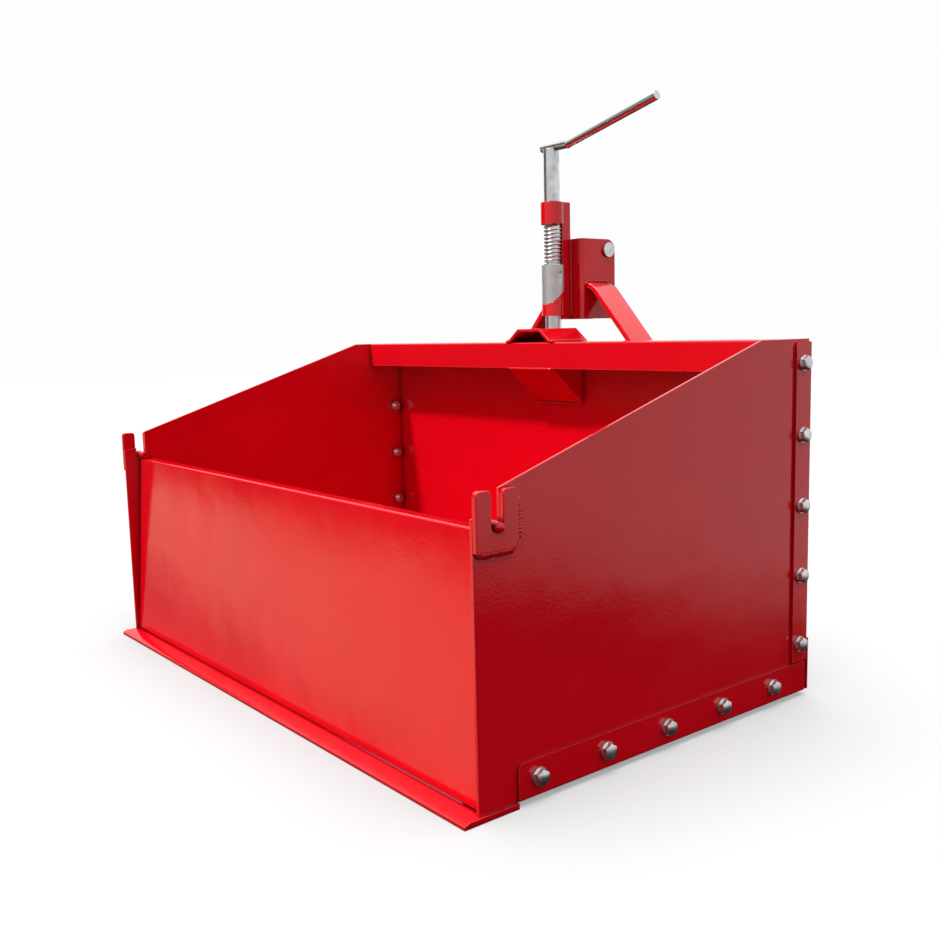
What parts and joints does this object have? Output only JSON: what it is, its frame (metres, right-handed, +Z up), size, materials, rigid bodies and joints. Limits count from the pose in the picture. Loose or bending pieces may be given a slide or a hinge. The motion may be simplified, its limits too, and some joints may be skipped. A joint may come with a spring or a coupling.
{
  "type": "three-point hitch tipping transport box",
  "caption": "Painted steel transport box for a tractor hitch: open tub with a hinged lift-off front flap, cutting bar, and a spring latch that lets the tub tip.",
  "frame": {"origin": "on the ground, midway across the box and midway from the cutting edge to the rear of the tower", "axes": "+X to the box's right-hand side, -Y to its front (cutting edge and flap), +Y to the tractor, +Z up"},
  "size_m": [1.134, 0.808, 0.9799],
  "materials": {
    "red_enamel": "glossy",
    "zinc_fasteners": "satin",
    "zinc_steel": "satin",
    "matt_collar": "matte"
  },
  "bodies": {
    "hitch_frame": {"tower_channel": "red_enamel", "web_plate": "red_enamel", "guide_sleeve_upper": "red_enamel", "guide_sleeve_lower": "red_enamel", "leg_left": "red_enamel", "leg_right": "red_enamel", "crossbar": "red_enamel", "hitch_plate_left": "red_enamel", "hitch_plate_right": "red_enamel", "lower_pin_left": "zinc_steel", "lower_pin_right": "zinc_steel", "top_link_pin": "zinc_steel", "top_linchpin": "zinc_steel", "linchpin_ring": "zinc_steel"},
    "tub": {"tub_sheet": "red_enamel", "side_panel_left": "red_enamel", "side_panel_right": "red_enamel", "cutting_bar": "red_enamel", "skid_left": "red_enamel", "skid_right": "red_enamel", "flap_stops": "red_enamel", "ear_left": "red_enamel", "ear_right": "red_enamel", "brace_plate": "red_enamel", "brace_gussets": "red_enamel", "latch_keeper": "red_enamel", "rear_doubler": "red_enamel", "pivot_lugs_left": "red_enamel", "pivot_lugs_right": "red_enamel", "bolts_left": "zinc_fasteners", "bolts_right": "zinc_fasteners", "washers_left": "zinc_fasteners", "washers_right": "zinc_fasteners", "nuts_left": "zinc_fasteners", "nuts_right": "zinc_fasteners"},
    "latch_slider": {"latch_spring": "zinc_steel", "spring_seat": "zinc_steel"},
    "latch": {"latch_rod": "zinc_steel", "latch_stem": "zinc_steel", "latch_handle": "zinc_steel", "cam_collar": "matt_collar", "roll_pin": "zinc_steel"},
    "flap_hanger": {"flap_pin_left": "red_enamel", "flap_pin_right": "red_enamel"},
    "flap": {"flap_panel": "red_enamel"}
  },
  "joints": [
    {"name": "tub_tip", "type": "hinge", "parent": "hitch_frame", "child": "tub", "pos_m": [0, 0.354, 0.277], "axis": [1, 0, 0], "range_deg": [0, 75]},
    {"name": "latch_lift", "type": "slide", "parent": "hitch_frame", "child": "latch_slider", "axis": [0, 0, 1], "range_m": [0, 0.0288], "stiffness_N_per_m": 8600, "springref_m": -0.015, "deforming": ["latch_spring"]},
    {"name": "latch_turn", "type": "hinge", "parent": "latch_slider", "child": "latch", "pos_m": [0, 0.27, 0.65], "axis": [0, 0, 1], "range_deg": [0, 90]},
    {"name": "flap_lift", "type": "slide", "parent": "tub", "child": "flap_hanger", "axis": [0, 0, 1], "range_m": [0, 0.42]},
    {"name": "flap_swing", "type": "hinge", "parent": "flap_hanger", "child": "flap", "pos_m": [0, -0.346, 0.3593], "axis": [-1, 0, 0], "range_deg": [0, 110]}
  ],
  "couplings": [
    {"joint": "latch_lift", "follows": "latch_turn", "m_per_rad": 0.0183}
  ]
}
